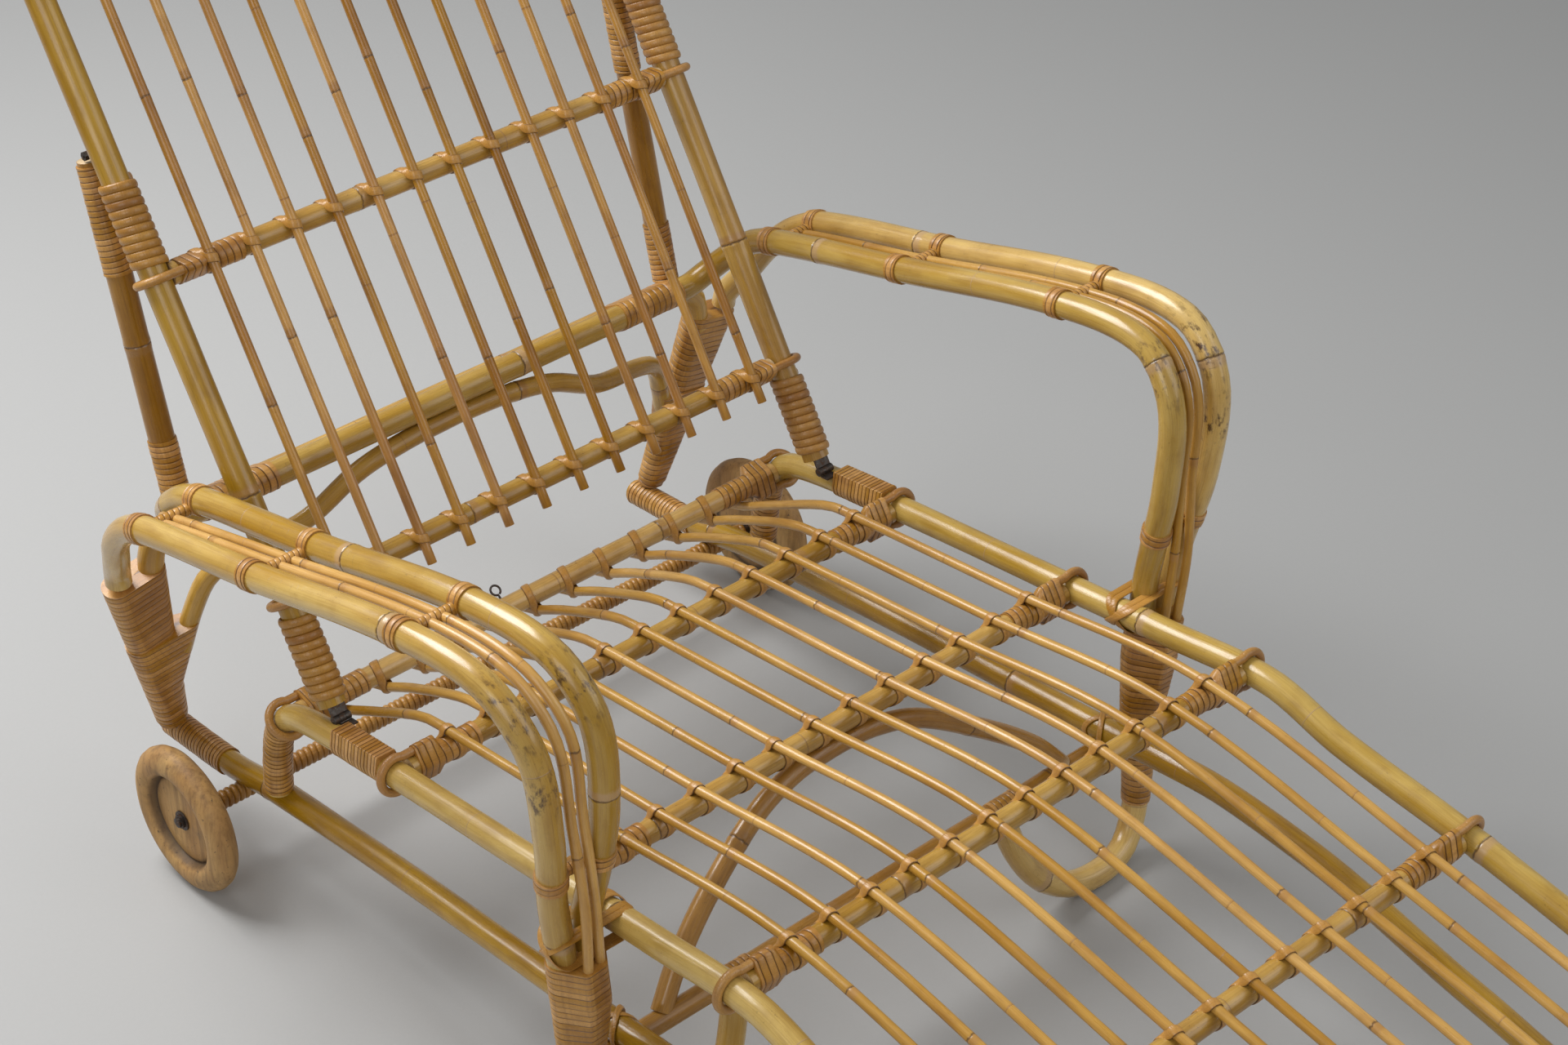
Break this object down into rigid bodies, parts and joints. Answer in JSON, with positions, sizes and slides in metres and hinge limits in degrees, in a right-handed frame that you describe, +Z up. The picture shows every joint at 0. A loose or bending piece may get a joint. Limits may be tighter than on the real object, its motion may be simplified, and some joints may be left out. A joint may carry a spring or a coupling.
{
  "type": "reclining cane lounge chair",
  "caption": "Long cane lounge with curved slatted seat, looped arms, hinged slatted back on swinging props, and wheels under the rear end.",
  "frame": {"origin": "centre of the bounding box, on the floor", "axes": "+Y from the foot end to the head end, +Z up, +X to the right of someone who stands at the foot and looks to the head"},
  "size_m": [0.8158, 1.7392, 0.9296],
  "materials": {
    "thick_cane": "glossy varnish",
    "thin_cane": "satin varnish",
    "reed_winding": "satin",
    "wheel_wood": "weathered",
    "hinge_steel": "dark worn"
  },
  "bodies": {
    "frame": {"seat_rail_left": "thick_cane", "seat_rail_right": "thick_cane", "lower_rail_left": "thick_cane", "lower_rail_right": "thick_cane", "seat_bar_1": "thick_cane", "seat_bar_2": "thick_cane", "seat_bar_3": "thick_cane", "seat_bar_4": "thick_cane", "seat_bar_5": "thick_cane", "seat_bar_6": "thick_cane", "seat_bar_7": "thick_cane", "seat_slat_01": "thin_cane", "seat_slat_02": "thin_cane", "seat_slat_03": "thin_cane", "seat_slat_04": "thin_cane", "seat_slat_05": "thin_cane", "seat_slat_06": "thin_cane", "seat_slat_07": "thin_cane", "seat_slat_08": "thin_cane", "seat_slat_09": "thin_cane", "seat_slat_10": "thin_cane", "seat_slat_11": "thin_cane", "seat_slat_12": "thin_cane", "front_cross_bar": "thick_cane", "arm_inner_cane": "thick_cane", "arm_outer_left": "thick_cane", "arm_outer_right": "thick_cane", "arm_fill_left": "thin_cane", "arm_fill_right": "thin_cane", "rear_hoop": "thick_cane", "axle": "reed_winding", "back_hinge_left": "hinge_steel", "back_hinge_right": "hinge_steel"},
    "backrest": {"back_stile_left": "thick_cane", "back_stile_right": "thick_cane", "back_rail_low": "thick_cane", "back_rail_middle": "thick_cane", "back_rail_top": "thick_cane", "back_slat_01": "thin_cane", "back_slat_02": "thin_cane", "back_slat_03": "thin_cane", "back_slat_04": "thin_cane", "back_slat_05": "thin_cane", "back_slat_06": "thin_cane", "back_slat_07": "thin_cane", "back_slat_08": "thin_cane", "back_slat_09": "thin_cane", "back_slat_10": "thin_cane", "back_slat_11": "thin_cane", "back_slat_12": "thin_cane", "stile_winding_lower_left": "reed_winding", "stile_winding_lower_right": "reed_winding", "stile_winding_upper_left": "reed_winding", "stile_winding_upper_right": "reed_winding", "prop_hinge_left": "hinge_steel", "prop_hinge_right": "hinge_steel"},
    "prop_left": {"prop_leg_left": "thick_cane"},
    "prop_right": {"prop_leg_right": "thick_cane"},
    "wheel_left": {"wheel_left": "wheel_wood"},
    "wheel_right": {"wheel_right": "wheel_wood"}
  },
  "joints": [
    {"name": "back_fold", "type": "hinge", "parent": "frame", "child": "backrest", "pos_m": [0, 0.4438, 0.2601], "axis": [1, 0, 0], "range_deg": [0, 80]},
    {"name": "prop_left_swing", "type": "hinge", "parent": "backrest", "child": "prop_left", "pos_m": [-0.29, 0.7466, 0.69739], "axis": [1, 0, 0], "range_deg": [0, 75]},
    {"name": "prop_right_swing", "type": "hinge", "parent": "backrest", "child": "prop_right", "pos_m": [0.29, 0.7466, 0.69739], "axis": [1, 0, 0], "range_deg": [0, 75]},
    {"name": "wheel_left_spin", "type": "hinge", "parent": "frame", "child": "wheel_left", "pos_m": [-0.357, 0.62005, 0.0745], "axis": [1, 0, 0], "continuous": true},
    {"name": "wheel_right_spin", "type": "hinge", "parent": "frame", "child": "wheel_right", "pos_m": [0.357, 0.62005, 0.0745], "axis": [1, 0, 0], "continuous": true}
  ]
}
